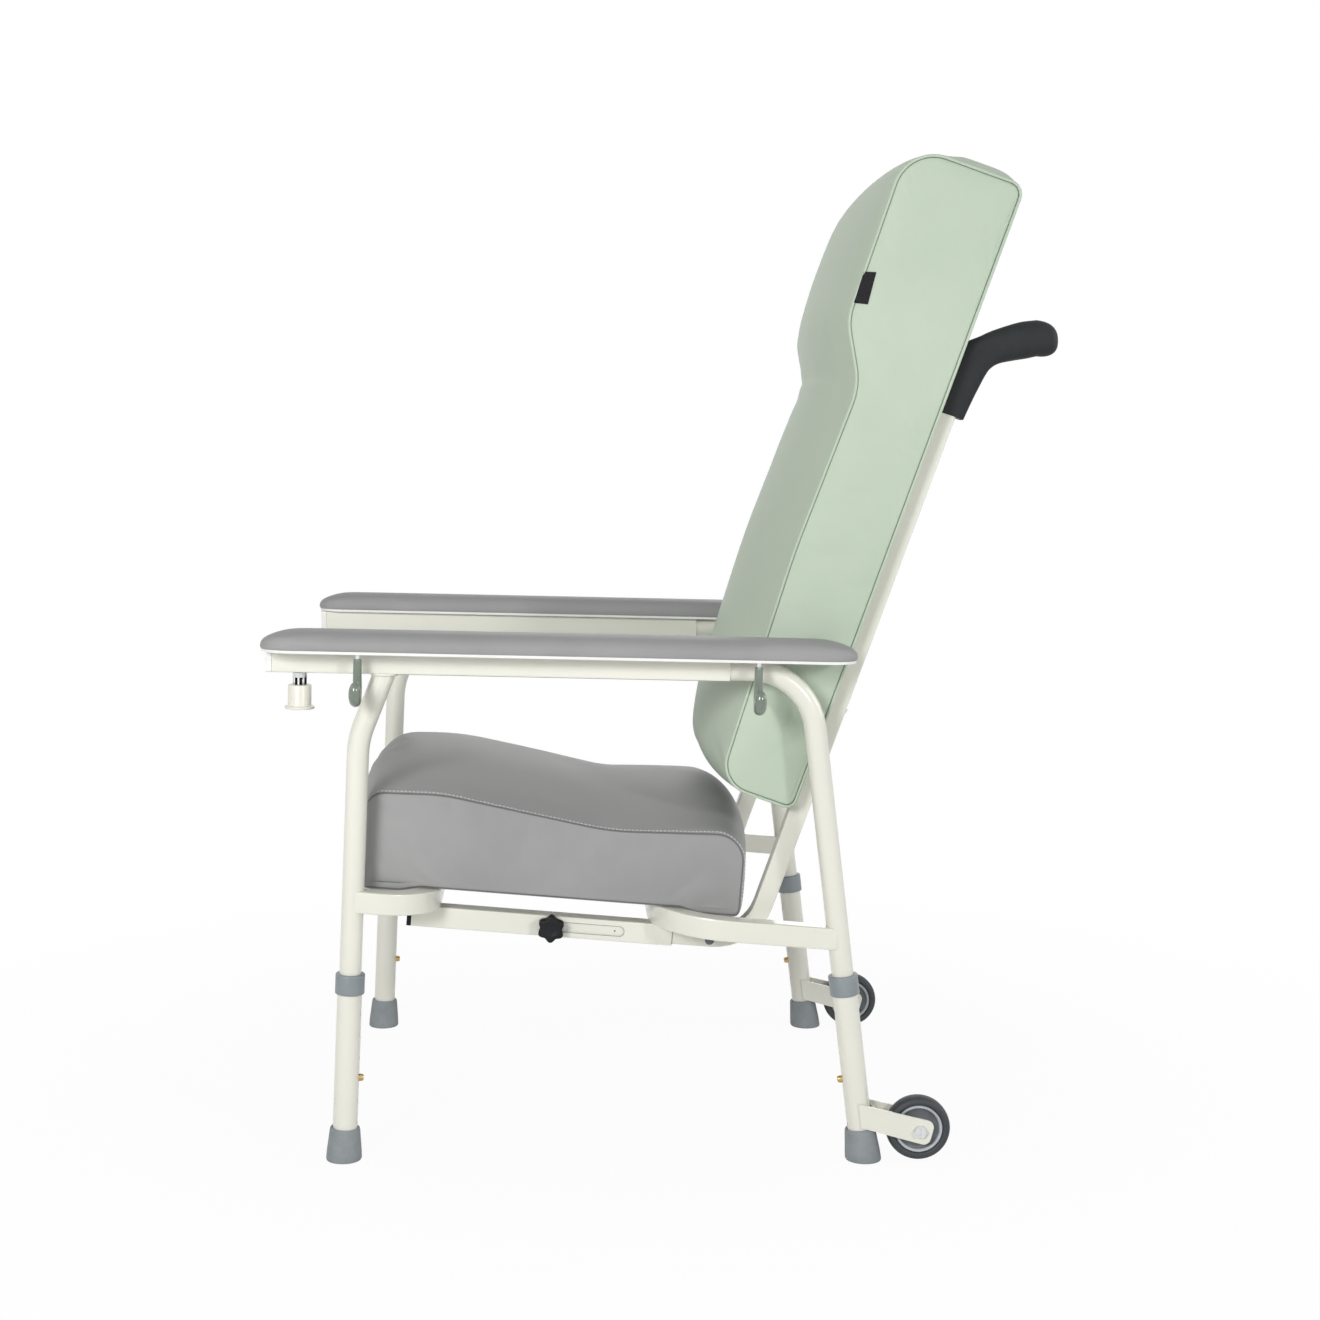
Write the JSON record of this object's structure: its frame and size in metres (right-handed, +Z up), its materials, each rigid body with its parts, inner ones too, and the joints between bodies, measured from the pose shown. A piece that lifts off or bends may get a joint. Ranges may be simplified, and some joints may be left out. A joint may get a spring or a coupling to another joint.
{
  "type": "geriatric chair",
  "caption": "High-back padded care chair on a bent steel tube frame, with legs of adjustable height, a sliding back, padded arms, push handles and rear transport wheels.",
  "frame": {"origin": "on the floor, under the centre of the chair's bounding box", "axes": "+Z up, -Y towards the front, where the sitter looks, +X to the sitter's left"},
  "size_m": [0.692, 0.903, 1.1587],
  "materials": {
    "ivory_steel": "satin",
    "grey_vinyl": "satin",
    "sage_vinyl": "satin",
    "white_plastic": "satin",
    "cream_plastic": "satin",
    "collar_grey": "satin",
    "ferrule_grey": "matte",
    "hook_grey": "gloss",
    "black_plastic": "satin",
    "tyre_black": "matte",
    "hub_grey": "satin",
    "button_brass": "satin",
    "bright_steel": "polished",
    "plywood": "matte"
  },
  "bodies": {
    "frame": {"front_cross_frame": "ivory_steel", "rear_cross_frame": "ivory_steel", "seat_board": "plywood", "seat_cushion": "grey_vinyl", "arm_rail_left": "ivory_steel", "rail_bush_left": "white_plastic", "arm_board_left": "white_plastic", "arm_pad_left": "grey_vinyl", "plunger_housing_left": "bright_steel", "front_leg_tube_left": "ivory_steel", "rear_leg_tube_left": "ivory_steel", "slide_sleeve_left": "ivory_steel", "sleeve_cap_left": "black_plastic", "arm_rail_right": "ivory_steel", "rail_bush_right": "white_plastic", "arm_board_right": "white_plastic", "arm_pad_right": "grey_vinyl", "plunger_housing_right": "bright_steel", "front_leg_tube_right": "ivory_steel", "rear_leg_tube_right": "ivory_steel", "slide_sleeve_right": "ivory_steel", "sleeve_cap_right": "black_plastic"},
    "back": {"back_board": "plywood", "back_cushion": "sage_vinyl", "back_tube_left": "ivory_steel", "back_grip_left": "black_plastic", "back_tube_right": "ivory_steel", "back_grip_right": "black_plastic"},
    "lower_leg_front_left": {"leg_front_left": "ivory_steel", "collar_front_left": "collar_grey", "foot_front_left": "ferrule_grey"},
    "button_front_left": {"snap_button_front_left": "button_brass"},
    "lower_leg_rear_left": {"leg_rear_left": "ivory_steel", "collar_rear_left": "collar_grey", "foot_rear_left": "ferrule_grey", "wheel_bracket_left": "ivory_steel", "axle_bolt_left": "bright_steel"},
    "button_rear_left": {"snap_button_rear_left": "button_brass"},
    "wheel_left": {"tyre_left": "tyre_black", "hub_left": "hub_grey"},
    "knob_left": {"star_knob_left": "black_plastic"},
    "plunger_left": {"tray_plunger_left": "cream_plastic"},
    "hook_front_left": {"hook_front_left": "hook_grey"},
    "hook_rear_left": {"hook_rear_left": "hook_grey"},
    "lower_leg_front_right": {"leg_front_right": "ivory_steel", "collar_front_right": "collar_grey", "foot_front_right": "ferrule_grey"},
    "button_front_right": {"snap_button_front_right": "button_brass"},
    "lower_leg_rear_right": {"leg_rear_right": "ivory_steel", "collar_rear_right": "collar_grey", "foot_rear_right": "ferrule_grey", "wheel_bracket_right": "ivory_steel", "axle_bolt_right": "bright_steel"},
    "button_rear_right": {"snap_button_rear_right": "button_brass"},
    "wheel_right": {"tyre_right": "tyre_black", "hub_right": "hub_grey"},
    "knob_right": {"star_knob_right": "black_plastic"},
    "plunger_right": {"tray_plunger_right": "cream_plastic"},
    "hook_front_right": {"hook_front_right": "hook_grey"},
    "hook_rear_right": {"hook_rear_right": "hook_grey"}
  },
  "joints": [
    {"name": "back_depth", "type": "slide", "parent": "frame", "child": "back", "axis": [0, 0.9969, -0.0785], "range_m": [0, 0.08]},
    {"name": "leg_height_front_left", "type": "slide", "parent": "frame", "child": "lower_leg_front_left", "axis": [0, -0.0436, -0.999], "range_m": [-0.0254, 0.0762], "deforming": ["snap_button_front_left"]},
    {"name": "button_press_front_left", "type": "slide", "parent": "frame", "child": "button_front_left", "axis": [0, -0.999, 0.0436], "range_m": [0, 0.0068], "stiffness_N_per_m": 1500, "springref_m": -0.002},
    {"name": "leg_height_rear_left", "type": "slide", "parent": "frame", "child": "lower_leg_rear_left", "axis": [0, 0.1219, -0.9925], "range_m": [-0.0254, 0.0762], "deforming": ["snap_button_rear_left"]},
    {"name": "button_press_rear_left", "type": "slide", "parent": "frame", "child": "button_rear_left", "axis": [0, 0.9925, 0.1219], "range_m": [0, 0.0068], "stiffness_N_per_m": 1500, "springref_m": -0.002},
    {"name": "wheel_spin_left", "type": "hinge", "parent": "lower_leg_rear_left", "child": "wheel_left", "pos_m": [0.28, 0.29586, 0.0385], "axis": [1, 0, 0], "continuous": true},
    {"name": "knob_turn_left", "type": "hinge", "parent": "back", "child": "knob_left", "pos_m": [0.2228, -0.12696, 0.26043], "axis": [1, 0, 0], "range_deg": [0, 360]},
    {"name": "plunger_pull_left", "type": "slide", "parent": "frame", "child": "plunger_left", "axis": [0, -0.0209, -0.9998], "range_m": [0, 0.01], "stiffness_N_per_m": 900, "springref_m": -0.004},
    {"name": "hook_swivel_front_left", "type": "hinge", "parent": "frame", "child": "hook_front_left", "pos_m": [0.315, -0.34159, 0.59069], "axis": [0, 0.0209, 0.9998], "range_deg": [-90, 90]},
    {"name": "hook_swivel_rear_left", "type": "hinge", "parent": "frame", "child": "hook_rear_left", "pos_m": [0.315, 0.10452, 0.58134], "axis": [0, 0.0209, 0.9998], "range_deg": [-90, 90]},
    {"name": "leg_height_front_right", "type": "slide", "parent": "frame", "child": "lower_leg_front_right", "axis": [0, -0.0436, -0.999], "range_m": [-0.0254, 0.0762], "deforming": ["snap_button_front_right"]},
    {"name": "button_press_front_right", "type": "slide", "parent": "frame", "child": "button_front_right", "axis": [0, -0.999, 0.0436], "range_m": [0, 0.0068], "stiffness_N_per_m": 1500, "springref_m": -0.002},
    {"name": "leg_height_rear_right", "type": "slide", "parent": "frame", "child": "lower_leg_rear_right", "axis": [0, 0.1219, -0.9925], "range_m": [-0.0254, 0.0762], "deforming": ["snap_button_rear_right"]},
    {"name": "button_press_rear_right", "type": "slide", "parent": "frame", "child": "button_rear_right", "axis": [0, 0.9925, 0.1219], "range_m": [0, 0.0068], "stiffness_N_per_m": 1500, "springref_m": -0.002},
    {"name": "wheel_spin_right", "type": "hinge", "parent": "lower_leg_rear_right", "child": "wheel_right", "pos_m": [-0.28, 0.29586, 0.0385], "axis": [1, 0, 0], "continuous": true},
    {"name": "knob_turn_right", "type": "hinge", "parent": "back", "child": "knob_right", "pos_m": [-0.2228, -0.12696, 0.26043], "axis": [-1, 0, 0], "range_deg": [0, 360]},
    {"name": "plunger_pull_right", "type": "slide", "parent": "frame", "child": "plunger_right", "axis": [0, -0.0209, -0.9998], "range_m": [0, 0.01], "stiffness_N_per_m": 900, "springref_m": -0.004},
    {"name": "hook_swivel_front_right", "type": "hinge", "parent": "frame", "child": "hook_front_right", "pos_m": [-0.315, -0.34159, 0.59069], "axis": [0, 0.0209, 0.9998], "range_deg": [-90, 90]},
    {"name": "hook_swivel_rear_right", "type": "hinge", "parent": "frame", "child": "hook_rear_right", "pos_m": [-0.315, 0.10452, 0.58134], "axis": [0, 0.0209, 0.9998], "range_deg": [-90, 90]}
  ]
}
